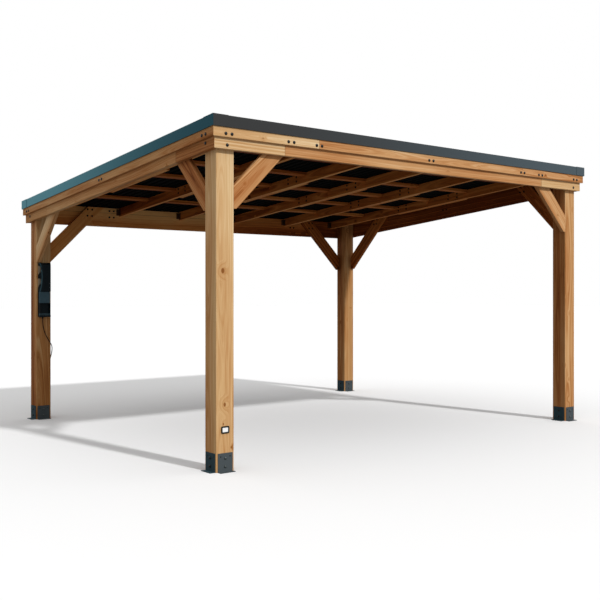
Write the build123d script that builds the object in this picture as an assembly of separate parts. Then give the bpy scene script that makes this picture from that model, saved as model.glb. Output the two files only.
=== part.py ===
from build123d import *
import math
import os

os.makedirs("parts", exist_ok=True)

# A four-post timber gazebo with a single-slope roof of ribbed steel sheets.
# Millimetres. X runs along the front, Y from front to rear, Z up.
# The origin is on the ground at the middle of the plan, and the front faces -Y.

# Frame
post_width = 145
frame_width = 4112
frame_depth = 3450
front_clearance = 2239
roof_fall = 0.087

# Beams: a board on the outside of the posts, with a band and a steel trim outside it
beam_thick = 38
beam_height = 201
end_beam_end_length = 563
side_beam_end_length = 492
band_thick = 21
band_rise = 78
band_end_length = 866
trim_reach = 8
trim_over = 20
trim_height = 80
trim_steel = 2
trim_flange = 60
cap_leg = 126
cap_steel = 1.5
joint_gap = 0.4
board_ease = 2
post_ease = 3

# Braces
brace_thick = 38
brace_width = 129
brace_foot_drop = 404
brace_foot_cut = 24
brace_top_gap = 7

# Rafters, splice boards and purlins
rafter_count = 6
rafter_inset = 251
rafter_thick = 38
rafter_height = 89
splice_length = 1040
splice_thick = 38
seat_gap = 0.3
purlin_rows = 5
purlin_pitch = 550
purlin_width = 64
purlin_height = 28

# Roof sheets
sheet_count = 4
ribs_per_sheet = 14
rib_base = 38
rib_crown = 20
rib_height = 15
sheet_steel = 1
lap_lip = 8

# Steel angles at the rafter ends
angle_leg = 34
angle_height = 66
angle_steel = 3

# Foot brackets
foot_plate_width = 121
foot_plate_height = 132
foot_flange = 42
foot_steel = 4
anchor_hole = 12
anchor_inset = 19

# Power box on the front face of the rear left post, under the foot of the side brace
box_width = 114
box_height = 533
box_gap = 8.5
box_corner = 8
box_back_depth = 12
hood_height = 281
hood_width = 108
hood_depth = 40
hood_side_depth = 14
hood_shoulder = 34
hood_slope = 22
finger_radius = 58
finger_bite = 20
finger_drops = (65, 180)
panel_height = 112
panel_width = 104
panel_depth = 22
tray_depth = 30
tray_wall = 6
tray_lip = 20
tray_lip_reach = 6
piece_gap = 3

# Small framed plate on the front left post
plate_width = 65
plate_height = 50
plate_depth = 6
plate_rim = 9
plate_middle = 293

# Lead of the power box: gland, cord, coil and plug
cord_width = 8
gland_length = 16
gland_width = 17
gland_inset = 90
coil_gap = 94
coil_turns_across = 3
coil_layers = 2
coil_middle_radius = 44
coil_entry_angle = -11
coil_stub = 32
first_drop = 30
last_run = 54
coil_lift = 0.2
plug_relief = 25
plug_body = (28, 40, 24)
plug_blade = (1.6, 16, 6.4)
plug_blade_spread = 12.7

half_width = frame_width / 2
half_depth = frame_depth / 2
beam_face = beam_thick
band_face = beam_thick + band_thick
trim_face = band_face + trim_reach
trim_top = beam_height + trim_over
trim_rise = trim_top - trim_height
brace_top_rise = beam_height - brace_top_gap


def roof_line(y, above):
    """Height of a line that runs parallel to the roof, `above` the side beams' underside."""
    return front_clearance + above - roof_fall * (y + half_depth)


def block(x_from, x_to, y_from, y_to, z_from, z_to):
    """A squared piece between two corners."""
    middle = ((x_from + x_to) / 2, (y_from + y_to) / 2, (z_from + z_to) / 2)
    return Pos(*middle) * Box(abs(x_to - x_from), abs(y_to - y_from), abs(z_to - z_from))


def across(outline, x_from, x_to):
    """A piece along X whose section is an outline of (y, z) points."""
    section = Plane.YZ.offset(x_from) * Polygon(*outline, align=None)
    return extrude(section, amount=x_to - x_from, dir=(1, 0, 0))


def through(outline, y_from, y_to):
    """A level piece along Y whose section is an outline of (x, z) points."""
    section = Plane.XZ.offset(-y_from) * Polygon(*outline, align=None)
    return extrude(section, amount=y_to - y_from, dir=(0, 1, 0))


def down_roof(outline, y_from, y_to):
    """A piece that follows the roof's fall, its section an outline of (x, above) points."""
    placed = [(x, roof_line(y_from, above)) for x, above in outline]
    section = Plane.XZ.offset(-y_from) * Polygon(*placed, align=None)
    run = y_to - y_from
    return extrude(section, amount=run * math.hypot(1, roof_fall), dir=(0, 1, -roof_fall))


def board(a_from, a_to, b_from, b_to):
    """Section of a planed board, its four long edges eased."""
    a_from, a_to = sorted((a_from, a_to))
    e = board_ease
    return [(a_from + e, b_from), (a_to - e, b_from), (a_to, b_from + e), (a_to, b_to - e),
            (a_to - e, b_to), (a_from + e, b_to), (a_from, b_to - e), (a_from, b_from + e)]


def save(name, *solids):
    """Write one named piece, or a group of like pieces, to its own file."""
    whole = [piece for solid in solids for piece in solid.solids()]
    export_step(whole[0] if len(whole) == 1 else Compound(whole), f"parts/{name}.step")


def lengths(start, end, *cuts):
    """Split a run into butted lengths with a fine joint between them."""
    stops = [start, *cuts, end]
    for low, high in zip(stops, stops[1:]):
        yield (low + (joint_gap / 2 if low != start else 0),
               high - (joint_gap / 2 if high != end else 0))


corners = {
    "front_left": (-1, -1),
    "front_right": (1, -1),
    "rear_left": (-1, 1),
    "rear_right": (1, 1),
}
sides = {"left": -1, "right": 1}
ends = {"front": -1, "rear": 1}


# Posts: square, tops cut to the fall of the roof

def post(side, end):
    x_edges = sorted((side * half_width, side * (half_width - post_width)))
    y_low, y_high = sorted((end * half_depth, end * (half_depth - post_width)))
    outline = [(y_low, 0), (y_high, 0),
               (y_high, roof_line(y_high, beam_height)), (y_low, roof_line(y_low, beam_height))]
    blank = across(outline, *x_edges)
    return chamfer(blank.edges().filter_by(Axis.Z), post_ease)


for name, (side, end) in corners.items():
    save(f"post_{name}", post(side, end))


# Foot brackets: a steel angle on the front and the left face of each post, flat on the ground

def foot_angle():
    """One angle against a post face that lies in the XZ plane and looks towards -Y."""
    half = foot_plate_width / 2
    plate = block(-half, half, -foot_steel, 0, 0, foot_plate_height)
    flange = block(-half, half, -foot_flange, 0, 0, foot_steel)
    hole = Pos(0, anchor_inset - foot_flange, foot_steel / 2) * Cylinder(anchor_hole / 2, 2 * foot_steel)
    return plate + flange - hole


for name, (side, end) in corners.items():
    centre = Pos(side * (half_width - post_width / 2), end * (half_depth - post_width / 2), 0)
    turned = [centre * Rot(0, 0, turn) * Pos(0, -post_width / 2, 0) * foot_angle() for turn in (0, -90)]
    save(f"foot_bracket_{name}", *turned)


# Beams and bands on the four sides, butted into lengths and mitred at the corners

def level_top(end, inner, outer):
    """Top of a level board at the front or rear that stays under the sloping roof."""
    return min(roof_line(end * (half_depth + inner), beam_height),
               roof_line(end * (half_depth + outer), beam_height))


def mitre(inner, outer, half_run, half_span, gap):
    """A tall prism whose plan is one side of a picture frame, on the +Y side of the origin.

    `half_run` is half the side's length and `half_span` its distance from the middle.
    """
    plan = Polygon((-half_run - inner + gap, half_span + inner), (half_run + inner - gap, half_span + inner),
                   (half_run + outer - gap, half_span + outer), (-half_run - outer + gap, half_span + outer),
                   align=None)
    return extrude(plan, amount=2 * front_clearance)


def end_boards(end, inner, outer, rise, cut):
    """Butted lengths of a level board along the front or rear."""
    underside = roof_line(end * half_depth, rise)
    section = board(end * (half_depth + inner), end * (half_depth + outer),
                    underside, level_top(end, inner, outer))
    keep = Rot(0, 0, 0 if end > 0 else 180) * mitre(inner, outer, half_width, half_depth, 0)
    reach = half_width + outer
    return [across(section, a, b) & keep for a, b in lengths(-reach, reach, -cut, cut)]


def side_boards(side, inner, outer, rise, *cuts):
    """Butted lengths of a board that follows the roof down one side."""
    section = board(side * (half_width + inner), side * (half_width + outer), rise, beam_height)
    keep = Rot(0, 0, -90 * side) * mitre(inner, outer, half_depth, half_width, joint_gap)
    reach = half_depth + outer
    return [down_roof(section, a, b) & keep for a, b in lengths(-reach, reach, *cuts)]


for name, end in ends.items():
    save(f"{name}_beam", *end_boards(end, 0, beam_face, 0, half_width - end_beam_end_length))
    save(f"{name}_band", *end_boards(end, beam_face, band_face, band_rise, half_width - band_end_length))

for name, side in sides.items():
    cut = half_depth - side_beam_end_length
    save(f"{name}_beam", *side_boards(side, 0, beam_face, 0, -cut, cut))
    save(f"{name}_band", *side_boards(side, beam_face, band_face, band_rise, 0))


# Knee braces: boards at 45 degrees between a post and the beam, behind the beam

def brace_outline(fall):
    """(out, up) points from the post's side face at beam underside level.

    The beam's underside drops by `fall` for each unit along it.
    """
    step = brace_width * math.sqrt(2)
    reach = brace_foot_drop + brace_foot_cut + brace_top_rise
    low_end = reach / (1 + fall)
    high_end = (reach - step) / (1 + fall)
    return [(0, -brace_foot_drop),
            (brace_foot_cut, -brace_foot_drop),
            (low_end, brace_top_rise - fall * low_end),
            (high_end, brace_top_rise - fall * high_end),
            (0, step - brace_foot_drop - brace_foot_cut)]


def eased_brace(blank):
    """Ease the long edges of a brace board."""
    return chamfer([edge for edge in blank.edges() if edge.length > 2 * brace_width], board_ease)


for end_name, end in ends.items():
    for side_name, side in sides.items():
        face = side * (half_width - post_width)
        underside = roof_line(end * half_depth, 0)
        outline = [(face - side * out, underside + up) for out, up in brace_outline(0)]
        y_faces = sorted((end * half_depth, end * (half_depth - brace_thick)))
        save(f"{end_name}_brace_{side_name}", eased_brace(through(outline, *y_faces)))

        face = end * (half_depth - post_width)
        underside = roof_line(face, 0)
        outline = [(face - end * out, underside + up) for out, up in brace_outline(-end * roof_fall)]
        x_faces = sorted((side * half_width, side * (half_width - brace_thick)))
        save(f"{side_name}_brace_{end_name}", eased_brace(across(outline, *x_faces)))


# Rafters: two lengths butted at mid depth, with a splice board bolted to their right face

rafter_foot = beam_height - rafter_height
rafter_pitch = (frame_width - 2 * rafter_inset) / (rafter_count - 1)
rafter_middles = [rafter_inset - half_width + rafter_pitch * index for index in range(rafter_count)]
for number, middle in enumerate(rafter_middles, 1):
    left, right = middle - rafter_thick / 2, middle + rafter_thick / 2
    outline = board(left, right, rafter_foot, beam_height)
    halves = [down_roof(outline, a, b) for a, b in lengths(-half_depth, half_depth, 0)]
    outline = board(right + seat_gap, right + seat_gap + splice_thick, rafter_foot, beam_height)
    splice = down_roof(outline, -splice_length / 2, splice_length / 2)
    save(f"rafter_{number}", *halves, splice)


# Purlins: flat battens between the rafters, level with their tops

def brace_reach():
    """How far along a side beam its braces cover the height of the purlins."""
    return post_width + (brace_foot_drop + brace_foot_cut + brace_top_rise) / (1 - roof_fall)


def purlin_row(middle):
    y_faces = (middle - purlin_width / 2, middle + purlin_width / 2)
    meets_brace = abs(middle) + purlin_width / 2 > half_depth - brace_reach()
    wall = half_width - (brace_thick if meets_brace else 0)
    splice_side = rafter_thick / 2
    if abs(middle) - purlin_width / 2 < splice_length / 2:
        splice_side += seat_gap + splice_thick
    starts = [-wall] + [x + splice_side for x in rafter_middles]
    stops = [x - rafter_thick / 2 for x in rafter_middles] + [wall]
    section = [(y, roof_line(y, above)) for y, above in
               board(*y_faces, beam_height - purlin_height, beam_height)]
    return [across(section, a, b) for a, b in zip(starts, stops)]


for row in range(purlin_rows):
    middle = purlin_pitch * (row - (purlin_rows - 1) / 2)
    save(f"purlin_row_{row + 1}", *purlin_row(middle))


# Steel angles that hold both ends of each rafter to the beams

def end_angle(x, side, end):
    """One angle in the corner between a rafter's side and a beam's inner face."""
    y = end * half_depth
    foot = roof_line(y, rafter_foot) + (rafter_height - angle_height) / 2
    on_rafter = block(x, x + side * angle_steel, y, y - end * angle_leg, foot, foot + angle_height)
    on_beam = block(x, x + side * angle_leg, y, y - end * angle_steel, foot, foot + angle_height)
    return on_rafter + on_beam


save("rafter_angles", *[end_angle(middle + side * rafter_thick / 2, side, end)
                        for middle in rafter_middles
                        for side in sides.values()
                        for end in ends.values()])


# Roof sheets: ribbed steel, the ribs running down the fall.
# Each sheet's last rib laps over the first rib of the sheet on its right.

sheet_width = 2 * (half_width + band_face) / sheet_count
rib_pitch = sheet_width / ribs_per_sheet
lap_rise = sheet_steel + seat_gap


def rib(middle, grow=0, rise=0):
    """(x, up) points over one rib, made larger to lap over its neighbour."""
    return [(middle - rib_base / 2 - grow, rise), (middle - rib_crown / 2 - grow, rib_height + rise),
            (middle + rib_crown / 2 + grow, rib_height + rise), (middle + rib_base / 2 + grow, rise)]


def sheet_outline(number):
    start = sheet_width * number - half_width - band_face
    first = start + rib_pitch / 2
    lapped = number > 0
    laps = number < sheet_count - 1
    under = [(first - rib_base / 2 - lap_lip / 2 if lapped else start, 0)]
    for index in range(ribs_per_sheet):
        under += rib(first + rib_pitch * index)
    if laps:
        over_rib = rib(first + sheet_width, sheet_steel / 2, lap_rise)
        step = over_rib[0][0] - lap_lip
        under += [(step - lap_rise, 0), (step, lap_rise), *over_rib, (over_rib[-1][0] + lap_lip, lap_rise)]
    else:
        under += [(start + sheet_width, 0)]
    over = [(x, up + sheet_steel) for x, up in reversed(under)]
    return [(x, beam_height + up) for x, up in under + over]


for number in range(sheet_count):
    sheet = down_roof(sheet_outline(number), -half_depth - band_face, half_depth + band_face)
    save(f"roof_sheet_{number + 1}", sheet)


# Steel trim: a folded channel outside the band, its top leg lying over the sheets

def trim_outline(frame_face, direction):
    """(out, above) points of the folded trim outside a face of the frame."""
    face = frame_face + direction * trim_face
    inner = face - direction * trim_steel
    band = frame_face + direction * band_face
    lip = face - direction * trim_flange
    return [(face, trim_rise), (face, trim_top), (lip, trim_top), (lip, trim_top - trim_steel),
            (inner, trim_top - trim_steel), (inner, trim_rise + trim_steel),
            (band, trim_rise + trim_steel), (band, trim_rise)]


def cap_outline(frame_face, direction):
    """(out, above) points of a corner cap, which fits over the trim."""
    inner = frame_face + direction * (trim_face + seat_gap)
    outer = inner + direction * cap_steel
    lip = frame_face + direction * (trim_face - trim_flange)
    low, high = trim_rise, trim_top + seat_gap
    return [(outer, low), (outer, high + cap_steel), (lip, high + cap_steel), (lip, high),
            (inner, high), (inner, low)]


def to_heights(outline):
    """Turn (y, above) points into (y, z) points on the sloping roof."""
    return [(y, roof_line(y, above)) for y, above in outline]


for name, end in ends.items():
    outline = to_heights(trim_outline(end * half_depth, end))
    reach = half_width + trim_face
    save(f"{name}_trim", *[across(outline, a, b) for a, b in lengths(-reach, reach, 0)])

for name, side in sides.items():
    outline = trim_outline(side * half_width, side)
    reach = half_depth + trim_face - trim_flange - joint_gap
    save(f"{name}_trim", *[down_roof(outline, a, b) for a, b in lengths(-reach, reach, 0)])


def corner_cap(side, end):
    """An angled cap over the meeting of two trims."""
    out = trim_face + seat_gap + cap_steel
    x_run = sorted((side * (half_width + out), side * (half_width + out - cap_leg)))
    y_run = sorted((end * (half_depth + out), end * (half_depth + out - cap_leg)))
    along_end = across(to_heights(cap_outline(end * half_depth, end)), *x_run)
    along_side = down_roof(cap_outline(side * half_width, side), *y_run)
    return along_end + along_side


save("corner_caps", *[corner_cap(side, end) for side, end in corners.values()])


# Power box: a back plate that carries a hood, a plain panel and a shallow tray

box_x = -half_width + post_width / 2
box_face = half_depth - post_width
box_top = roof_line(box_face, -brace_foot_drop) - box_gap
box_bottom = box_top - box_height


def slab(width, height, corner, depth):
    """A plate with rounded corners, its back on the XZ plane, standing out towards -Y."""
    return extrude(Plane.XZ * RectangleRounded(width, height, corner), amount=depth)


back = Pos(box_x, box_face, box_bottom + box_height / 2) * slab(box_width, box_height, box_corner,
                                                                box_back_depth)
save("box_back", back)

# The hood's plan is a low side at the left, a round shoulder and a flat front
half = hood_width / 2
with BuildSketch() as hood_plan:
    with BuildLine():
        start = Line((-half, 0), (-half, -hood_side_depth))
        shoulder = ThreePointArc(start @ 1, (-half + hood_shoulder * 0.45, -hood_depth * 0.8),
                                 (-half + hood_shoulder, -hood_depth))
        front = Line(shoulder @ 1, (half, -hood_depth + 4))
        side_line = Line(front @ 1, (half, 0))
        Line(side_line @ 1, start @ 0)
    make_face()
hood = extrude(hood_plan.sketch, amount=hood_height)
for drop in finger_drops:
    bite = Pos(-half - finger_radius + finger_bite, 0, hood_height - drop) * Rot(90, 0, 0) * Cylinder(
        finger_radius, 3 * hood_depth)
    hood -= bite
slope = Plane.YZ * Polygon((-hood_depth - 1, hood_height + 1), (-hood_depth - 1, hood_height - hood_slope),
                           (-hood_side_depth, hood_height + 1), align=None)
hood -= extrude(slope, amount=hood_width, both=True)
save("box_hood", Pos(box_x, box_face - box_back_depth, box_top - hood_height) * hood)

panel_top = box_top - hood_height - piece_gap
panel = Pos(box_x, box_face - box_back_depth, panel_top - panel_height / 2) * slab(
    panel_width, panel_height, box_corner / 2, panel_depth)
save("box_panel", chamfer(panel.faces().sort_by(Axis.Y)[0].edges(), board_ease))

# The tray is open at the front and top, with a lip along its foot
tray_height = panel_top - panel_height - piece_gap - box_bottom
tray = block(-half, half, -tray_depth, 0, 0, tray_height)
tray += block(-half, half, -tray_depth - tray_lip_reach, -tray_depth, 0, tray_lip)
tray -= block(tray_wall - half, half - tray_wall, -2 * tray_depth, -tray_wall, tray_lip, tray_height - tray_wall)
tray = Pos(box_x, box_face - box_back_depth, box_bottom) * tray
save("box_tray", tray)


# Small framed plate: a shallow frame with a plain insert

plate_seat = Pos(-half_width + post_width / 2, -half_depth, plate_middle)
insert_size = (plate_width - 2 * plate_rim, plate_height - 2 * plate_rim)
recess = slab(*insert_size, plate_rim / 2, plate_depth)
save("post_plate", plate_seat * (slab(plate_width, plate_height, plate_rim, plate_depth) - recess))
save("post_plate_face", plate_seat * slab(insert_size[0] - seat_gap, insert_size[1] - seat_gap,
                                          plate_rim / 2, plate_depth / 2))


# Lead of the power box. It leaves through a gland under the tray, crosses the post's face to
# its right edge, follows the hidden side down to the ground and ends in a coil behind the post.

tube_radius = cord_width / 2
post_edge = Vector(-half_width + post_width, box_face, 0)
gland_top = Vector(post_edge.X - gland_inset, box_face - box_back_depth - tray_wall - tube_radius, box_bottom)
gland_foot = gland_top - Vector(0, 0, gland_length)

coil_outside = coil_middle_radius + cord_width * coil_turns_across / 2
coil_middle = Vector(post_edge.X, half_depth + coil_gap + coil_outside, 0)
coil_radius = coil_outside - tube_radius
entry = math.radians(coil_entry_angle)
entry_run = Vector(-math.sin(entry), math.cos(entry), 0)
entry_out = Vector(math.cos(entry), math.sin(entry), 0)
floor_level = Vector(0, 0, coil_lift + tube_radius)
coil_start = coil_middle + floor_level + entry_out * coil_radius - entry_run * coil_stub

# Points of the route from the post's right front edge, at heights for a gland foot at this height
route_height = 990
route = [
    (-84, -18, 912),
    (-70, -14.5, 862),
    (-47, -12.5, 812),
    (-19, -13, 766),
    (10, -12, 718),
    (17, 10, 664),
    (14, 38, 604),
    (10, 66, 540),
    (9, 91, 472),
    (10, 112, 402),
    (12, 128, 330),
    (14, 140, 258),
    (15, 148, 188),
    (17, 152, 122),
    (20, 158, 66),
    (26, 174, 24),
]
stretch = gland_foot.Z / route_height
cord_points = [
    gland_foot,
    gland_foot - Vector(0, 0, first_drop * stretch),
    *[post_edge + Vector(x, y, z * stretch) for x, y, z in route],
    coil_start - entry_run * last_run,
    coil_start,
]


def bend_radii(points):
    """Largest arc that each corner's two runs allow."""
    for before, here, after in zip(points, points[1:], points[2:]):
        run_in, run_out = here - before, after - here
        turn = math.radians(run_in.get_angle(run_out))
        yield 0.45 * min(run_in.length, run_out.length) / math.tan(turn / 2)


radii = list(bend_radii(cord_points))
print("cord bend radii", [round(radius) for radius in radii])
cord_path = FilletPolyline(*cord_points, radius=radii)
tube = sweep(Plane(cord_path @ 0, z_dir=cord_path % 0) * Circle(tube_radius), path=cord_path)
print("cord tube length", round(cord_path.length), "volume error",
      round(tube.volume / (math.pi * tube_radius ** 2 * cord_path.length) - 1, 5))
save("power_cord", tube)

gland = Pos(gland_top.X, gland_top.Y, gland_top.Z - gland_length / 2) * Cone(
    tube_radius + 1, gland_width / 2, gland_length)
save("cord_gland", gland)

coil_height = cord_width * coil_layers
ring_section = Pos(coil_middle_radius, coil_lift + coil_height / 2) * RectangleRounded(
    cord_width * coil_turns_across, coil_height, tube_radius - 0.5)
ring = revolve(Plane.XZ * ring_section, Axis.Z)
stub_in = Plane(coil_start, z_dir=entry_run) * Pos(0, 0, coil_stub / 2) * Cylinder(tube_radius, coil_stub)
coil_exit = coil_middle + floor_level + Vector(-coil_radius, 0, cord_width * (coil_layers - 1))
stub_out = Pos(coil_exit.X, coil_exit.Y - coil_stub / 2, coil_exit.Z) * Rot(90, 0, 0) * Cylinder(
    tube_radius, coil_stub)
save("cord_coil", Pos(coil_middle.X, coil_middle.Y, 0) * ring + stub_in + stub_out)

# The plug lies flat beside the coil: a tapered relief, a body and two blades
plug_seat = Pos(coil_exit.X, coil_exit.Y - coil_stub, coil_exit.Z) * Rot(90, 0, 0)
relief = plug_seat * Pos(0, 0, plug_relief / 2) * Cone(tube_radius + 0.5, tube_radius + 4, plug_relief)
body_width, body_length, body_height = plug_body
body = plug_seat * Pos(0, 0, plug_relief) * extrude(
    RectangleRounded(body_width, body_height, 6), amount=body_length, taper=2)
blade_thick, blade_length, blade_height = plug_blade
blades = [plug_seat * Pos(side * plug_blade_spread / 2, 0, plug_relief + body_length + blade_length / 2 - 1)
          * Box(blade_thick, blade_height, blade_length + 2) for side in (-1, 1)]
save("cord_plug", relief + body + blades[0] + blades[1])
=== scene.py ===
import bpy
import math
import numpy as np
from mathutils import Euler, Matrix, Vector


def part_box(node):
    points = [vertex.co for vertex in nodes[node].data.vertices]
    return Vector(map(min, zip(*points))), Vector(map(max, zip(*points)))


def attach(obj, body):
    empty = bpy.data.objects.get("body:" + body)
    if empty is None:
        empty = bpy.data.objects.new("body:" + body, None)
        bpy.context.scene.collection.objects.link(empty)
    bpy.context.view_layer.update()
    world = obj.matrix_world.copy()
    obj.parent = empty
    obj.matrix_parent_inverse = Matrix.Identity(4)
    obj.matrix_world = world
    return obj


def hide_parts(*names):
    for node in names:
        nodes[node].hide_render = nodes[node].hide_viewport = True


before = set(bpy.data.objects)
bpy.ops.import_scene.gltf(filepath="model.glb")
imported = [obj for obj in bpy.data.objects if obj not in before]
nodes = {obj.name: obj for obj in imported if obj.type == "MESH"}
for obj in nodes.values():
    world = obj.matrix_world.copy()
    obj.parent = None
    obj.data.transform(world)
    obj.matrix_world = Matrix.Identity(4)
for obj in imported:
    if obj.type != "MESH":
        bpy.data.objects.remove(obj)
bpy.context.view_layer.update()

# The camera
# A level camera at a standing height, off the front left corner, as the photograph was taken. Its
# place and its focal length fit the photograph's straight edges and corners.
camera_place = (-5.3145, -6.9311, 1.2462)
camera_turn = math.radians(38.606)
picture_size = 600
focal_pixels = 884.4
middle_pixel = (317.9, 292.58)
lens_data = bpy.data.cameras.new("camera")
lens_data.sensor_width = 36
lens_data.lens = focal_pixels / picture_size * lens_data.sensor_width
lens_data.shift_x = (picture_size / 2 - middle_pixel[0]) / picture_size
lens_data.shift_y = (middle_pixel[1] - picture_size / 2) / picture_size
camera = bpy.data.objects.new("camera", lens_data)
bpy.context.collection.objects.link(camera)
camera.location = camera_place
camera.rotation_euler = (math.radians(90), 0, -camera_turn)
bpy.context.scene.camera = camera
bpy.context.scene.view_settings.view_transform = "Standard"


# Posts
# Square posts of planed and oiled softwood. The rings of the tree run up them round a heart a
# little off the middle, so each face shows long arches, and knots part the lines of the grain.

class Value:
    """A socket in a node tree. Arithmetic on it adds the Math nodes that work it out."""

    def __init__(self, tree, socket):
        self.tree = tree
        self.socket = socket

    def maths(self, operation, first, second=0.0):
        return self.tree.node("ShaderNodeMath", {"operation": operation}, {0: first, 1: second})

    def __add__(self, other):
        return self.maths("ADD", self, other)

    def __radd__(self, other):
        return self.maths("ADD", other, self)

    def __sub__(self, other):
        return self.maths("SUBTRACT", self, other)

    def __rsub__(self, other):
        return self.maths("SUBTRACT", other, self)

    def __mul__(self, other):
        return self.maths("MULTIPLY", self, other)

    def __rmul__(self, other):
        return self.maths("MULTIPLY", other, self)

    def __gt__(self, other):
        return self.maths("GREATER_THAN", self, other)

    def __lt__(self, other):
        return self.maths("LESS_THAN", self, other)

    def __abs__(self):
        return self.maths("ABSOLUTE", self)

    def between(self, low, high):
        """0 below `low`, 1 above `high` and a smooth step from one to the other."""
        return self.tree.node("ShaderNodeMapRange", {"interpolation_type": "SMOOTHSTEP"},
                              {"Value": self, "From Min": low, "From Max": high})

    def beside(self, *names):
        """Other outputs of the node that this value comes from."""
        return [Value(self.tree, self.socket.node.outputs[name]) for name in names]


class Tree:
    """A tree of nodes, of a material or of the surround."""

    def __init__(self, owner):
        owner.use_nodes = True
        self.nodes = owner.node_tree.nodes
        self.links = owner.node_tree.links

    def feed(self, socket, value):
        """Link a value to a socket, or set the socket to a number or a colour."""
        if isinstance(value, Value):
            self.links.new(value.socket, socket)
        elif isinstance(value, tuple) and socket.type == "RGBA" and len(value) == 3:
            socket.default_value = (*value, 1)
        else:
            socket.default_value = value

    def node(self, kind, settings=None, inputs=None, output=0):
        """Add a node: its settings first, then the values or links of its sockets."""
        made = self.nodes.new(kind)
        for setting, value in (settings or {}).items():
            if setting == "stops":
                ramp = made.color_ramp.elements
                for _ in value[2:]:
                    ramp.new(0.5)
                for element, (place, colour) in zip(ramp, value):
                    element.position = place
                    element.color = (*colour, 1)
            else:
                setattr(made, setting, value)
        for socket, value in (inputs or {}).items():
            self.feed(made.inputs[socket], value)
        return Value(self, made.outputs[output])


class Finish(Tree):
    """A material of nodes that ends in one Principled shader."""

    def __init__(self, name, **constants):
        self.material = bpy.data.materials.new(name)
        super().__init__(self.material)
        self.shader = self.nodes["Principled BSDF"]
        self.set(**constants)

    def set(self, **sockets):
        """Set or link sockets of the shader, their names written with underscores."""
        for socket, value in sockets.items():
            self.feed(self.shader.inputs[socket.replace("_", " ")], value)

    def place(self, turn=(0, 0, 0), shift=(0, 0, 0)):
        """Object coordinates, turned and then shifted."""
        coordinates = self.node("ShaderNodeTexCoord", output="Object")
        return self.node("ShaderNodeMapping", {},
                         {"Vector": coordinates, "Rotation": turn, "Location": shift})

    def axes(self, vector):
        """The three numbers of a vector."""
        return self.node("ShaderNodeSeparateXYZ", {}, {0: vector}).beside("X", "Y", "Z")

    def vector(self, x, y, z):
        return self.node("ShaderNodeCombineXYZ", {}, {0: x, 1: y, 2: z})

    def size(self, vector):
        """The length of a vector."""
        return self.node("ShaderNodeVectorMath", {"operation": "LENGTH"}, {0: vector}, output=1)

    def noise(self, vector, scale=1.0, detail=3.0, roughness=0.5):
        return self.node("ShaderNodeTexNoise", {}, {"Vector": vector, "Scale": scale, "Detail": detail,
                                                    "Roughness": roughness})

    def line_noise(self, place, detail=0.0, roughness=0.5):
        """Noise that depends on one number."""
        return self.node("ShaderNodeTexNoise", {"noise_dimensions": "1D"},
                         {"W": place, "Scale": 1.0, "Detail": detail, "Roughness": roughness})

    def blend(self, factor, first, second):
        """Mix two colours, which are sockets 6 and 7 of a Mix node."""
        return self.node("ShaderNodeMix", {"data_type": "RGBA"}, {0: factor, 6: first, 7: second}, output=2)

    def bump(self, height, distance):
        """Raise the surface by a height, with the given distance where the height is 1."""
        self.set(Normal=self.node("ShaderNodeBump", {}, {"Height": height, "Distance": distance}))

    def dimples(self, scale=400.0, depth=0.0002):
        """The fine dimples of a sprayed or moulded skin."""
        self.bump(self.noise(self.place(), scale=scale, detail=2.0), depth)


def srgb(*levels):
    """Levels from 0 to 255 as seen on a screen, turned into light."""
    shares = [level / 255 for level in levels]
    return tuple(share / 12.92 if share <= 0.04045 else ((share + 0.055) / 1.055) ** 2.4 for share in shares)


def ramp_of(*levels):
    """Four colours of a wood, from its palest line to its darkest."""
    places = (0.0, 0.4, 0.75, 1.0)
    return [(place, srgb(*level)) for place, level in zip(places, levels)]


outdoor_woods = (ramp_of((232, 206, 164), (210, 172, 122), (184, 132, 78), (134, 82, 36)),
                 ramp_of((224, 182, 138), (198, 142, 92), (164, 100, 52), (112, 58, 22)))
board_step = 3.7
upper_step = 5.3
seam_reach = 0.0016
split_reach = 0.0018
seam_colour = srgb(62, 34, 16)
upper_paler = 0.12
# How much paler the rafters' undersides are painted: painted light from below.
painted_light_paler = 0.55
knot_colour = srgb(128, 72, 24)
knots_a_metre = (6.0, 11.0, 11.0)
bare_share = 0.65
knot_squash = 0.7
knot_radius = 0.006
knot_blur = 0.003
knot_reach = 0.034
eye_reach = 0.06
eye_pull = 1.7
knot_bend = 0.013
fuzz_bend = 0.008
heart_wander = 0.05
heart_size = (0.02, 0.1)
rings_a_metre = 90.0
fibres_a_metre = 260.0
grain_depth = 0.0012


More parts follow.
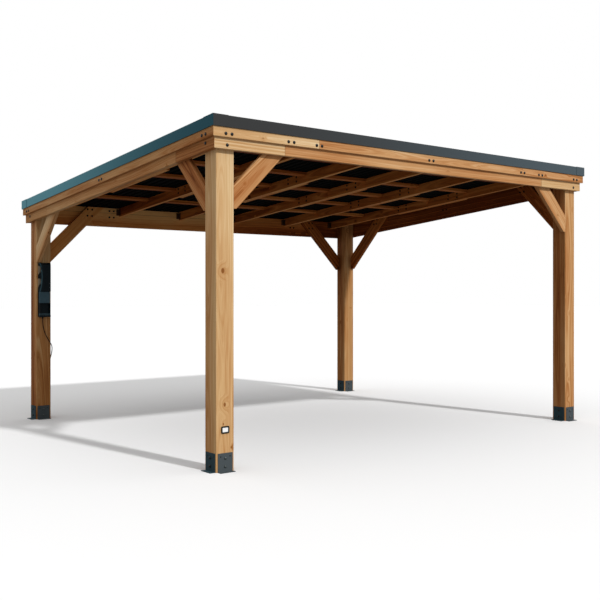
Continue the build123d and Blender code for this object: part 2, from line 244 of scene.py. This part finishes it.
def timber(node, turn, heart, tones, cuts=(), cut_axis=0, split=None, painted_light_below=None,
           woods=outdoor_woods, eyes=(), fade=0.0, seed=0.0):
    """Planed softwood, its grain along the first axis after the turn.

    `heart` is where the tree's middle lies, across the board from its own middle; the wood round
    it is darker and redder. `tones` has one pair for each length between the `cuts`: how dark it
    is and how red. `split` is the height of a joint between two boards, one above the other.
    Wood below the given underside edge is painted paler: painted light on the underside. `eyes` are
    knots at known places, each with its radius. `fade` is how much paler and less red the wood gets
    with each metre.
    """
    finish = Finish(node, Roughness=0.6, Specular_IOR_Level=0.05)
    low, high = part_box(node)
    middle = Euler(turn).to_matrix() @ ((low + high) / 2)
    along, wide, thick = finish.axes(finish.place(turn, tuple(-middle)))

    # Each length between two cuts is another board, so its grain is taken a step further on
    dark, red = tones[0]
    dark = dark - along * fade
    red = red - along * fade
    step = seed
    seam = 0.0
    if cuts:
        run = finish.axes(finish.place())[cut_axis]
        for cut, before, after in zip(cuts, tones, tones[1:]):
            passed = run > cut
            dark = dark + passed * (after[0] - before[0])
            red = red + passed * (after[1] - before[1])
            step = step + passed * board_step
            seam = seam + (abs(run - cut) < seam_reach)
    if split is not None:
        upper = wide > split
        dark = dark - upper * upper_paler
        step = step + upper * upper_step
        seam = seam + (abs(wide - split) < split_reach)
    # Painted light: wood below the edge is painted paler, as an underside that takes light from below.
    if painted_light_below is not None:
        dark = dark - (wide < painted_light_below) * painted_light_paler
    length = along + step

    # Knots: a third of the cells of a loose grid hold one, and those that lie near a face show there.
    # Each is drawn out along the grain, so its distances along the board count for less.
    cells_along, cells_wide, cells_thick = knots_a_metre
    cells = finish.vector(length * cells_along, wide * cells_wide, thick * cells_thick)
    grid = finish.node("ShaderNodeTexVoronoi", {}, {"Vector": cells, "Scale": 1.0, "Randomness": 0.8})
    middle_of_knot, chance = grid.beside("Position", "Color")
    offset = finish.node("ShaderNodeVectorMath", {"operation": "SUBTRACT"}, {0: middle_of_knot, 1: cells})
    metres = finish.node("ShaderNodeVectorMath", {"operation": "MULTIPLY"},
                         {0: offset, 1: (knot_squash / cells_along, 1 / cells_wide, 1 / cells_thick)})
    distance = finish.size(metres)
    strong = finish.axes(chance)[0] > bare_share
    near = (1 - distance.between(0.0, knot_reach)) * strong
    knot = (1 - distance.between(knot_radius - knot_blur, knot_radius + knot_blur)) * strong
    for eye_along, eye_wide, eye_thick, eye_radius in eyes:
        away = finish.size(finish.vector((along - eye_along) * knot_squash, wide - eye_wide,
                                         thick - eye_thick))
        near = near + (1 - away.between(0.0, eye_reach)) * eye_pull
        knot = knot + (1 - away.between(eye_radius - knot_blur, eye_radius + knot_blur))

    # Rings: noise that depends on the distance from the heart, which wanders along the tree
    drift_wide = finish.line_noise(length * 0.8) - 0.5
    drift_thick = finish.line_noise(length * 0.8 + 31.0) - 0.5
    fuzz = finish.noise(finish.vector(length * 3.0, wide * 22.0, thick * 22.0), detail=2.0) - 0.5
    radius = finish.size(finish.vector(0.0, wide - heart[0] + drift_wide * heart_wander,
                                       thick - heart[1] + drift_thick * heart_wander))
    core = 1 - radius.between(*heart_size)
    radius = radius + near * knot_bend + fuzz * fuzz_bend
    rings = finish.line_noise(radius * rings_a_metre + step * 2.0, detail=3.0, roughness=0.6)
    fibre = finish.noise(finish.vector(length * 5.0, wide * fibres_a_metre, thick * fibres_a_metre),
                         detail=1.0)
    cloud = finish.noise(finish.vector(length * 0.9, wide * 6.0, thick * 6.0), detail=2.0)
    level = (rings - 0.5) * 0.95 + (fibre - 0.5) * 0.45 + (cloud - 0.5) * 0.5 + dark
    level = level + near * 0.08 + core * 0.2
    honey, rose = [finish.node("ShaderNodeValToRGB", {"stops": stops}, {0: level}) for stops in woods]
    colour = finish.blend(red + core * 0.5 + (cloud - 0.5) * 0.8, honey, rose)
    colour = finish.blend(knot * 0.85, colour, knot_colour)
    if cuts or split is not None:
        colour = finish.blend(seam * 0.6, colour, seam_colour)
    finish.set(Base_Color=colour)
    finish.bump(rings * 0.5 + fibre * 0.5, grain_depth)
    return finish.material


def dress(node, material):
    """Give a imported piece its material."""
    nodes[node].data.materials.clear()
    nodes[node].data.materials.append(material)


upright = (0, math.radians(90), 0)
post_width = 0.145
front_eyes = ((-0.752, -0.0725, 0.0025, 0.01), (0.178, -0.0725, 0.018, 0.013))

# The heart, tone, fade and known knots of each post. The hearts lie toward the shaded left faces, so
# the darker, redder core there is partly painted shade. The rear right post's fade is below nought,
# so it gets darker and redder toward its top: painted shade under the roof.
posts = {
    "post_front_left": ((0.03, 0.03), (0.4, 0.12), 0.13, front_eyes),
    "post_front_right": ((0.014, 0.045), (0.58, 0.5), 0.05, ()),
    "post_rear_left": ((0.01, 0.05), (0.62, 0.35), 0.13, ()),
    "post_rear_right": ((0.012, 0.052), (0.66, 0.32), -0.14, ()),
}
for number, (post, (heart, tone, fade, eyes)) in enumerate(posts.items()):
    dress(post, timber(post, upright, heart, (tone,), eyes=eyes, fade=fade, seed=number * 9.1))


# Beams and bands
# Softwood boards on the outside of the posts, butted into lengths and mitred at the corners. Each
# beam is two boards high; the joint shows inside. The rear and right beams, which face in, take a
# browner wood: painted shade.

fall = 0.087
half_width = 2.056
half_depth = 1.725
front_clearance = 2.239
across_front = (math.radians(-90), 0, 0)
down_side = (math.radians(-90) + math.atan(fall), math.radians(-90), 0)
# A browner, darker copy of the wood for the parts that face in under the roof: painted shade.
painted_shade_woods = (ramp_of((222, 168, 104), (204, 136, 70), (166, 94, 38), (116, 58, 18)),
                ramp_of((216, 152, 88), (194, 116, 54), (152, 78, 30), (104, 46, 14)))
front_beam_end = 0.563
front_band_end = 0.866
side_beam_end = 0.492
front_beam_cut = half_width - front_beam_end
front_band_cut = half_width - front_band_end
side_beam_cut = half_depth - side_beam_end
upper_board = 0.045


def roof_line(y, above):
    """Height of a line that falls with the roof, `above` the side beams' underside."""
    return front_clearance + above - fall * (y + half_depth)


front_beam_tones = ((0.3, 0.1), (0.5, 0.8), (0.38, 0.15))
dress("front_beam", timber("front_beam", across_front, (0.05, 0.06), front_beam_tones,
                           (-front_beam_cut, front_beam_cut), split=upper_board, seed=2.0))
rear_beam_tones = ((0.28, 0.35), (0.1, 0.2), (0.62, 0.65), (0.98, 0.95))
dress("rear_beam", timber("rear_beam", across_front, (-0.06, 0.05), rear_beam_tones,
                          (-front_beam_cut, 0.0, front_beam_cut), split=upper_board,
                          woods=painted_shade_woods, seed=14.0))
# The left length of the front band is painted paler and less red: painted light from the open left side.
front_band_tones = ((0.14, -0.3), (0.28, 0.35), (0.32, 0.4))
dress("front_band", timber("front_band", across_front, (-0.03, 0.04), front_band_tones,
                           (-front_band_cut, front_band_cut), seed=27.0))
rear_band_tones = ((0.4, 0.4), (0.46, 0.4), (0.42, 0.3))
dress("rear_band", timber("rear_band", across_front, (0.05, 0.03), rear_band_tones,
                          (-front_band_cut, front_band_cut), seed=38.0))
# The front length of the left beam is painted darker and redder: painted shadow of the band. The right beam
# is painted dark all along: painted shade.
left_beam_tones = ((0.78, 0.75), (0.6, 0.5), (0.66, 0.4))
right_beam_tones = ((0.95, 0.9),) * 3
side_band_tones = ((0.48, 0.2), (0.5, 0.3))
for side, seed, tones, woods in (("left", 45.0, left_beam_tones, outdoor_woods),
                                 ("right", 56.0, right_beam_tones, painted_shade_woods)):
    dress(f"{side}_beam", timber(f"{side}_beam", down_side, (0.06, 0.05), tones,
                                 (-side_beam_cut, side_beam_cut), cut_axis=1, split=upper_board,
                                 woods=woods, seed=seed))
    dress(f"{side}_band", timber(f"{side}_band", down_side, (-0.05, 0.04), side_band_tones, (0.0,),
                                 cut_axis=1, seed=seed + 5.0))


# Bolts of the beams and bands
# Carriage bolts with black domed heads: pairs through the band where boards meet and single ones
# through the lower beam at the posts. Their nuts show inside, two above two.

half_wall = 0.001


def domed_heads(name, seats, outward, radius, rise, material, points_round=10):
    """Heads of bolts at `seats`, all facing `outward`.

    Each is the quarter ellipse (radius cos a, rise sin a) turned about `outward`, on a short
    round wall. The wall stands half out of the wood and is closed by a flat back.
    """
    seats = np.array(seats, dtype=float)
    outward = np.array(outward, dtype=float)
    sideways = np.array([outward[1], outward[2], outward[0]])
    upward = np.cross(outward, sideways)
    arc = np.radians([0, 32, 62])
    reach = np.concatenate([[radius], radius * np.cos(arc)])
    height = np.concatenate([[-half_wall], rise * np.sin(arc) + half_wall])
    turn = np.arange(points_round) * 2 * math.pi / points_round
    spoke = np.cos(turn)[:, None] * sideways + np.sin(turn)[:, None] * upward
    wall = reach[:, None, None] * spoke[None] + height[:, None, None] * outward
    poles = np.array([[-half_wall], [rise + half_wall]]) * outward
    shape = np.vstack([wall.reshape(-1, 3), poles])
    corners = (seats[:, None] + shape[None]).reshape(-1, 3)

    here = np.arange(points_round)
    beyond = (here + 1) % points_round
    rows = np.arange(len(reach) - 1)[:, None] * points_round
    above = rows + points_round
    quads = np.stack([rows + here, rows + beyond, above + beyond, above + here], -1)
    last = (len(reach) - 1) * points_round
    back, tip = len(shape) - 2, len(shape) - 1
    crown = np.stack([last + here, last + beyond, np.full_like(here, tip)], -1)
    base = np.stack([beyond, here, np.full_like(here, back)], -1)
    shifts = (np.arange(len(seats)) * len(shape))[:, None, None]
    faces = (quads.reshape(1, -1, 4) + shifts).reshape(-1, 4).tolist()
    faces += (np.vstack([crown, base])[None] + shifts).reshape(-1, 3).tolist()

    mesh = bpy.data.meshes.new(name)
    mesh.from_pydata(corners.tolist(), [], faces)
    mesh.shade_smooth()
    mesh.materials.append(material)
    piece = bpy.data.objects.new(name, mesh)
    bpy.context.collection.objects.link(piece)
    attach(piece, "root")


bolt = Finish("bolt steel", Base_Color=srgb(16, 18, 20), Roughness=0.3, Specular_IOR_Level=0.25)
bolt.dimples(scale=300.0)
nut = Finish("nut steel", Base_Color=srgb(10, 9, 9), Roughness=0.5, Specular_IOR_Level=0.04)
nut.dimples(scale=300.0)
bolt_radius = 0.0125
bolt_rise = 0.006
nut_radius = 0.0105
nut_rise = 0.008
brace_thick = 0.038
beam_face = 0.038
band_face = 0.059
pair_reach = 0.025
end_pair = 0.067
brace_pair = 0.605
end_bolt_heights = {"band": 0.102, "beam": 0.027}
side_bolt_heights = {"band": 0.104, "beam": 0.051}
side_bolt_inset = 0.078
end_nut_heights = (0.100, 0.166)
side_nut_heights = (0.095, 0.150)
front_pairs = [half_width - end_pair, half_width - brace_pair, front_band_cut]
front_pairs = [side * place for place in front_pairs for side in (-1, 1)] + [0.0]
side_pairs = (end_pair - half_depth, 0.0, half_depth - end_pair)

for name, end in (("front", -1), ("rear", 1)):
    frame_y = end * half_depth
    level = roof_line(frame_y, 0)
    seats = [(x + reach, frame_y + end * band_face, level + end_bolt_heights["band"])
             for x in front_pairs for reach in (-pair_reach, pair_reach)]
    seats += [(x, frame_y + end * beam_face, level + end_bolt_heights["beam"])
              for x in (end_pair - half_width, half_width - end_pair)]
    domed_heads(f"{name}_bolts", seats, (0, end, 0), bolt_radius, bolt_rise, bolt.material)
    nuts = [(x + reach, frame_y - end * seat, level + height)
            for x, seat in ((brace_pair - half_width, brace_thick), (half_width - brace_pair, brace_thick),
                            (-front_band_cut, 0.0), (front_band_cut, 0.0), (0.0, 0.0))
            for reach in (-pair_reach, pair_reach) for height in end_nut_heights]
    domed_heads(f"{name}_nuts", nuts, (0, -end, 0), nut_radius, nut_rise, nut.material, 6)

for name, side in (("left", -1), ("right", 1)):
    frame_x = side * half_width
    seats = [(frame_x + side * band_face, y + reach, roof_line(y + reach, side_bolt_heights["band"]))
             for y in side_pairs for reach in (-pair_reach, pair_reach)]
    seats += [(frame_x + side * beam_face, y, roof_line(y, side_bolt_heights["beam"]))
              for y in (side_bolt_inset - half_depth, half_depth - side_bolt_inset)]
    domed_heads(f"{name}_bolts", seats, (side, 0, 0), bolt_radius, bolt_rise, bolt.material)
    nuts = [(frame_x - side * seat, y + reach, roof_line(y + reach, height))
            for y, seat in ((brace_pair - half_depth, brace_thick), (half_depth - brace_pair, brace_thick),
                            (0.0, 0.0))
            for reach in (-pair_reach, pair_reach) for height in side_nut_heights]
    domed_heads(f"{name}_nuts", nuts, (-side, 0, 0), nut_radius, nut_rise, nut.material, 6)


# Knee braces
# Softwood boards at 45 degrees between the posts and the beams, cut level at the foot. Each stands
# behind its beam, bolted through it at the top and held by a screw at the foot.

brace_foot_drop = 0.404
screw_back = 0.022
screw_rise = 0.003
# The darkest tones, on the braces at the rear right corner, are painted shade.
brace_tones = {
    "front_brace_left": (0.5, 0.6),
    "front_brace_right": (0.36, 0.6),
    "rear_brace_left": (0.3, 0.2),
    "rear_brace_right": (0.85, 0.7),
    "left_brace_front": (0.56, 0.75),
    "left_brace_rear": (0.28, 0.35),
    "right_brace_front": (0.56, 0.75),
    "right_brace_rear": (0.69, 0.35),
}
# The rear and right braces face in and take the browner wood of painted shade.
for number, (name, side) in enumerate((("left", -1), ("right", 1))):
    for other, (end_name, end) in enumerate((("front", -1), ("rear", 1))):
        step = number * 7 + other * 13
        node = f"{end_name}_brace_{name}"
        turn = (0, math.radians(90 + 45 * side), 0)
        woods = outdoor_woods if end < 0 else painted_shade_woods
        dress(node, timber(node, turn, (0.05, 0.04), (brace_tones[node],), woods=woods, seed=60.0 + step))
        node = f"{name}_brace_{end_name}"
        turn = (math.radians(-90 - 45 * end), 0, math.radians(-90))
        woods = outdoor_woods if side < 0 else painted_shade_woods
        dress(node, timber(node, turn, (0.04, 0.06), (brace_tones[node],), woods=woods, seed=90.0 + step))

for name, side in (("left", -1), ("right", 1)):
    inner_x = side * (half_width - brace_thick)
    feet = [(inner_x, end * (half_depth - post_width - screw_back),
             roof_line(end * (half_depth - post_width), screw_back - brace_foot_drop)) for end in (-1, 1)]
    domed_heads(f"{name}_brace_screws", feet, (-side, 0, 0), nut_radius, screw_rise, nut.material,
                8)
for name, end in (("front", -1), ("rear", 1)):
    inner_y = end * (half_depth - brace_thick)
    feet = [(side * (half_width - post_width - screw_back), inner_y,
             roof_line(end * half_depth, screw_back - brace_foot_drop)) for side in (-1, 1)]
    domed_heads(f"{name}_brace_screws", feet, (0, -end, 0), nut_radius, screw_rise, nut.material,
                8)


# Rafters
# Each is two butted lengths of softwood with a splice board on their right face, held by two bolts
# above two at each end. The heads show on the left and the nuts on the splice board.

splice_middle = 0.02
splice_bolts = (-0.453, -0.325, 0.325, 0.453)
splice_heights = (0.144, 0.183)
rafter_height = 0.089
# The rafters take the browner wood of painted shade, and their undersides are painted paler: painted light
# from below.
painted_light_below = 0.001 - rafter_height / 2
rafter_tones = ((0.66, 0.6), (0.72, 0.7))
head_rise = 0.004
left_seats = []
right_seats = []
for number in range(6):
    node = f"rafter_{number + 1}"
    dress(node, timber(node, down_side, (0.03 - number * 0.012, 0.04), rafter_tones, (0.0,), cut_axis=1,
                       painted_light_below=painted_light_below, woods=painted_shade_woods, seed=120.0 + number * 6.7))
    low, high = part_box(node)
    for y in splice_bolts:
        for above in splice_heights:
            z = roof_line(y + splice_middle, above)
            left_seats.append((low.x, y + splice_middle, z))
            right_seats.append((high.x, y + splice_middle, z))
domed_heads("rafter_bolts", left_seats, (-1, 0, 0), nut_radius, head_rise, nut.material, 8)
domed_heads("rafter_nuts", right_seats, (1, 0, 0), nut_radius, nut_rise, nut.material, 6)


# Purlins
# Flat softwood battens between the rafters, level with their tops, one long batten sawn up for each
# row. All rows take the browner wood of painted shade, and the front row is painted the brownest:
# painted shade.

purlin_painted_shade = (0.95, 0.52, 0.52, 0.52, 0.56)
for number, dark in enumerate(purlin_painted_shade):
    node = f"purlin_row_{number + 1}"
    dress(node, timber(node, (0, 0, 0), (0.02, 0.03), ((dark, 0.55),), woods=painted_shade_woods, fade=0.07,
                       seed=170.0 + number * 4.3))


# Roof sheets
# Ribbed sheets of coated steel on the purlins, the ribs down the fall and the last rib of each over
# the first of the next. Their coat is matt, nearly black and a little cloudy.

def coated_steel(name, colour, rough, gloss, tint=(1, 1, 1), cloud_depth=0.8):
    """Paint on steel: a plain colour with faint clouds and the fine dimples of a sprayed coat."""
    finish = Finish(name, Roughness=rough, Specular_IOR_Level=gloss, Specular_Tint=tint)
    cloud = finish.noise(finish.place(), scale=6.0, detail=4.0)
    deeper = tuple(cloud_depth * level for level in colour)
    finish.set(Base_Color=finish.blend(cloud, colour, deeper))
    finish.dimples()
    return finish.material


roof_finish = coated_steel("roof steel", srgb(13, 13, 12), 0.8, 0.02)
for number in range(4):
    dress(f"roof_sheet_{number + 1}", roof_finish)


# Steel trim
# Folded charcoal steel with a satin coat. The front is painted cooler toward the right, and the left
# and right faces are painted bluer and paler toward the rear: painted reflection of the sky. Those
# faces also mirror the sky as a metallic paint does. A cap covers each corner.

trim_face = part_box("right_trim")[1].x
face_skin = 0.0015
trim_finish = Finish("trim steel", Roughness=0.4, Specular_IOR_Level=0.25, Specular_Tint=(0.75, 0.97, 1.0))
place_x, place_y = trim_finish.axes(trim_finish.place())[:2]
# Painted reflection of the sky: the front greyer at the left and bluer at the right, the sides teal and
# paler toward the rear.
front_painted_reflection = trim_finish.blend(place_x.between(-half_width, half_width), srgb(47, 44, 44), srgb(63, 75, 82))
side_painted_reflection = trim_finish.blend(place_y.between(-half_depth, half_depth), srgb(22, 54, 66), srgb(66, 111, 123))
side_face = abs(place_x) > trim_face - face_skin
trim_finish.set(Base_Color=trim_finish.blend(side_face, front_painted_reflection, side_painted_reflection), Metallic=side_face)
trim_finish.dimples()
for node in ("front_trim", "rear_trim", "left_trim", "right_trim", "corner_caps"):
    dress(node, trim_finish.material)


# Rafter angles
# Small steel angles that hold both ends of each rafter to the beams. They are painted a dark brown
# that hardly stands out from the shaded wood.

angle_finish = coated_steel("angle steel", srgb(74, 46, 28), 0.5, 0.05)
dress("rafter_angles", angle_finish)


# Foot brackets
# Grey-black powder-coated angles on the front and left face of each post. The left faces are painted
# darker and bluer: painted shade and painted reflection of the sky. Each has two bolts on its centre
# line and two small screws near its top.

foot_steel = 0.004
foot_bolt_heights = (0.038, 0.096)
foot_bolt_radius = 0.011
foot_bolt_rise = 0.008
foot_screw_height = 0.109
foot_screw_reach = 0.038
foot_screw_radius = 0.005
foot_screw_rise = 0.002
front_feet = []
left_feet = []
front_screws = []
left_screws = []
for post in posts:
    low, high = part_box(post)
    middle = (low + high) / 2
    powder = Finish(f"{post} foot steel", Roughness=0.6, Specular_IOR_Level=0.12)
    # The left faces are painted darker and bluer: painted shade and painted sky reflection.
    on_left = powder.axes(powder.place())[0] < low.x - 0.0001
    powder.set(Base_Color=powder.blend(on_left, srgb(72, 79, 82), srgb(44, 65, 72)))
    powder.dimples(depth=0.0003)
    dress(post.replace("post", "foot_bracket"), powder.material)
    front_face = low.y - foot_steel
    left_face = low.x - foot_steel
    front_feet += [(middle.x, front_face, z) for z in foot_bolt_heights]
    left_feet += [(left_face, middle.y, z) for z in foot_bolt_heights]
    for reach in (-foot_screw_reach, foot_screw_reach):
        front_screws.append((middle.x + reach, front_face, foot_screw_height))
        left_screws.append((left_face, middle.y + reach, foot_screw_height))
# The front foot bolts are painted a paler grey than the black bolts on the left faces: painted light.
foot_bolt = Finish("foot bolt steel", Base_Color=srgb(58, 66, 66), Roughness=0.3, Specular_IOR_Level=0.5)
foot_bolt.dimples(scale=300.0)
domed_heads("front_foot_bolts", front_feet, (0, -1, 0), foot_bolt_radius, foot_bolt_rise,
            foot_bolt.material)
domed_heads("left_foot_bolts", left_feet, (-1, 0, 0), foot_bolt_radius, foot_bolt_rise,
            bolt.material)
domed_heads("front_foot_screws", front_screws, (0, -1, 0), foot_screw_radius, foot_screw_rise,
            bolt.material, 8)
domed_heads("left_foot_screws", left_screws, (-1, 0, 0), foot_screw_radius, foot_screw_rise,
            bolt.material, 8)


# Power box
# Moulded plastic: a black hood and tray, a back plate and a plain blue-grey panel. A pale line along
# the hood's bent shoulder is a painted highlight, and the tray's lip is a little paler. The back plate
# is black too, but for two worn grey-brown places, one above the other.

box_black = srgb(12, 24, 29)
hood_low, hood_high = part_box("box_hood")
shoulder_inset = 0.021
shoulder_bow = 0.017
painted_highlight_width = (0.001, 0.006)
hood = Finish("hood plastic", Roughness=0.35, Specular_IOR_Level=0.08)
place_x, _, place_z = hood.axes(hood.place())
rise = (place_z - (hood_low.z + hood_high.z) / 2) * (2 / (hood_high.z - hood_low.z))
shoulder = hood_low.x + shoulder_inset - rise * rise * shoulder_bow
# A pale line that bows along the shoulder: a painted highlight.
off_painted_highlight = abs(place_x - shoulder).between(*painted_highlight_width)
hood.set(Base_Color=hood.blend(off_painted_highlight, srgb(58, 86, 95), box_black))
hood.dimples()
dress("box_hood", hood.material)

tray_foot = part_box("box_tray")[0].z
lip_foot = 0.017
lip_top = 0.036
tray = Finish("tray plastic", Roughness=0.35, Specular_IOR_Level=0.08)
rise = tray.axes(tray.place())[2] - tray_foot
lip = (rise > lip_foot) * (rise < lip_top)
tray.set(Base_Color=tray.blend(lip, box_black, srgb(66, 86, 94)))
tray.dimples()
dress("box_tray", tray.material)

worn_drops = (0.073, 0.196)
worn_half_height = (0.034, 0.048)
back = Finish("back plastic", Roughness=0.5, Specular_IOR_Level=0.08)
place_z = back.axes(back.place())[2]
worn = 0.0
for drop in worn_drops:
    worn = worn + (1 - abs(place_z - (hood_high.z - drop)).between(*worn_half_height))
back.set(Base_Color=back.blend(worn, box_black, srgb(160, 140, 116)))
back.dimples()
dress("box_back", back.material)

dress("box_panel", coated_steel("panel plastic", srgb(60, 88, 100), 0.4, 0.2))


# Plate
# A small moulded frame, black, with a plain white insert. It is fixed flat on the front face of the
# front left post, a little above the foot bracket.

dress("post_plate", coated_steel("plate frame", srgb(26, 32, 30), 0.45, 0.15))
dress("post_plate_face", coated_steel("plate insert", srgb(250, 250, 248), 0.4, 0.3, cloud_depth=0.97))


# Power lead
# A black mains lead from the gland under the box, round the post's right edge, down the hidden
# side to the ground and into a neat coil behind the post, with its plug beside it.

cord_finish = coated_steel("cord jacket", srgb(18, 16, 15), 0.5, 0.1)
cord_thick = 0.008
post_low, post_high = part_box("post_rear_left")
edge_x = post_high.x
edge_y = post_low.y
gland_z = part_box("cord_gland")[0].z
last_run = 0.054
coil_stub = 0.032
coil_gap = 0.094
coil_lift = 0.0002
coil_entry = math.radians(-11)
coil_across = 3
coil_layers = 2
coil_middle_radius = 0.044
coil_outside = coil_middle_radius + cord_thick * coil_across / 2
outer_turn = coil_outside - cord_thick / 2
coil_middle_x = edge_x
coil_middle_y = post_high.y + coil_gap + coil_outside
floor_height = coil_lift + cord_thick / 2
entry_run = np.array([-math.sin(coil_entry), math.cos(coil_entry), 0])
entry_point = np.array([coil_middle_x + outer_turn * math.cos(coil_entry),
                        coil_middle_y + outer_turn * math.sin(coil_entry), floor_height])
route = [
    (-0.090, -0.022, gland_z),
    (-0.090, -0.022, 0.960),
    (-0.084, -0.018, 0.912),
    (-0.070, -0.0145, 0.862),
    (-0.047, -0.0125, 0.812),
    (-0.019, -0.013, 0.766),
    (0.010, -0.012, 0.718),
    (0.017, 0.010, 0.664),
    (0.014, 0.038, 0.604),
    (0.010, 0.066, 0.540),
    (0.009, 0.091, 0.472),
    (0.010, 0.112, 0.402),
    (0.012, 0.128, 0.330),
    (0.014, 0.140, 0.258),
    (0.015, 0.148, 0.188),
    (0.017, 0.152, 0.122),
    (0.020, 0.158, 0.066),
    (0.026, 0.174, 0.024),
]
points = [np.array([edge_x + x, edge_y + y, z]) for x, y, z in route]
points.append(entry_point - entry_run * (coil_stub + last_run))
points.append(entry_point - entry_run * coil_stub)

# The coil: inwards on the floor, up one layer and outwards again to the side where the plug lies
points_a_turn = 16
turn_count = coil_across * coil_layers
coil_end = math.radians(180) + 2 * math.pi * (turn_count - 1)
turned = np.linspace(coil_entry, coil_end, turn_count * points_a_turn)
rank = (turned - coil_entry) / (2 * math.pi)
inward = np.clip(rank, 0, coil_across - 1)
climb = np.clip(rank - (coil_across - 1), 0, 1)
outward = np.clip(rank - coil_across, 0, coil_across - 1)
radius = outer_turn - cord_thick * (inward - outward)
height = floor_height + cord_thick * climb
coil = np.stack([coil_middle_x + radius * np.cos(turned),
                 coil_middle_y + radius * np.sin(turned), height], 1)
points.extend(coil)
points.extend(coil[-1] + np.array([0, -reach, 0]) for reach in (coil_stub / 2, coil_stub))

curve = bpy.data.curves.new("power_lead", "CURVE")
curve.dimensions = "3D"
curve.bevel_depth = cord_thick / 2
curve.bevel_resolution = 3
curve.use_fill_caps = True
line = curve.splines.new("NURBS")
line.points.add(len(points) - 1)
line.points.foreach_set("co", np.hstack([np.array(points), np.ones((len(points), 1))]).ravel())
line.order_u = 3
line.use_endpoint_u = True
line.resolution_u = 6
lead = bpy.data.objects.new("power_lead", curve)
bpy.context.collection.objects.link(lead)
curve.materials.append(cord_finish)
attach(lead, "root")
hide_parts("power_cord", "cord_coil")
for node in ("cord_plug", "cord_gland"):
    dress(node, cord_finish)


# The stage
# A white floor and a plain white surround. For light that bounces between surfaces the floor
# is dull, as grass or paving is, and the surround is brighter overhead than at the horizon.

stage_size = 60
floor_bounce = (0.24, 0.24, 0.24)
floor_white = (0.9, 0.9, 0.9)
horizon_strength = 0.46
overhead_strength = 0.85
floor_mesh = bpy.data.meshes.new("floor")
corners = np.array([(-1, -1, 0), (1, -1, 0), (1, 1, 0), (-1, 1, 0)]) * stage_size
floor_mesh.from_pydata(corners.tolist(), [], [(0, 1, 2, 3)])
floor = bpy.data.objects.new("floor", floor_mesh)
bpy.context.collection.objects.link(floor)
ground = Finish("floor", Roughness=0.9, Specular_IOR_Level=0.0)
seen = ground.node("ShaderNodeLightPath", output="Is Camera Ray")
ground.set(Base_Color=ground.blend(seen, floor_bounce, floor_white))
floor_mesh.materials.append(ground.material)

world = bpy.data.worlds.new("surround")
bpy.context.scene.world = world
air = Tree(world)
direction = air.node("ShaderNodeTexCoord", output="Generated")
upward = air.node("ShaderNodeSeparateXYZ", {}, {0: direction}, output="Z")
bounced = air.node("ShaderNodeMapRange", {},
                   {"Value": upward, "To Min": horizon_strength, "To Max": overhead_strength})
seen = air.node("ShaderNodeLightPath", output="Is Camera Ray")
mirrored = seen.beside("Is Glossy Ray")[0]
shown = seen.maths("MAXIMUM", seen, mirrored)
strength = air.node("ShaderNodeMix", {}, {"Factor": shown, "A": bounced, "B": 1.0})
background = air.nodes["Background"]
air.feed(background.inputs["Color"], (1, 1, 1))
air.feed(background.inputs["Strength"], strength)

sun_data = bpy.data.lights.new("key", "SUN")
sun_data.energy = 2.24
sun_data.angle = math.radians(3)
sun = bpy.data.objects.new("key", sun_data)
bpy.context.collection.objects.link(sun)
sun.rotation_euler = (math.radians(53), 0, math.radians(8))
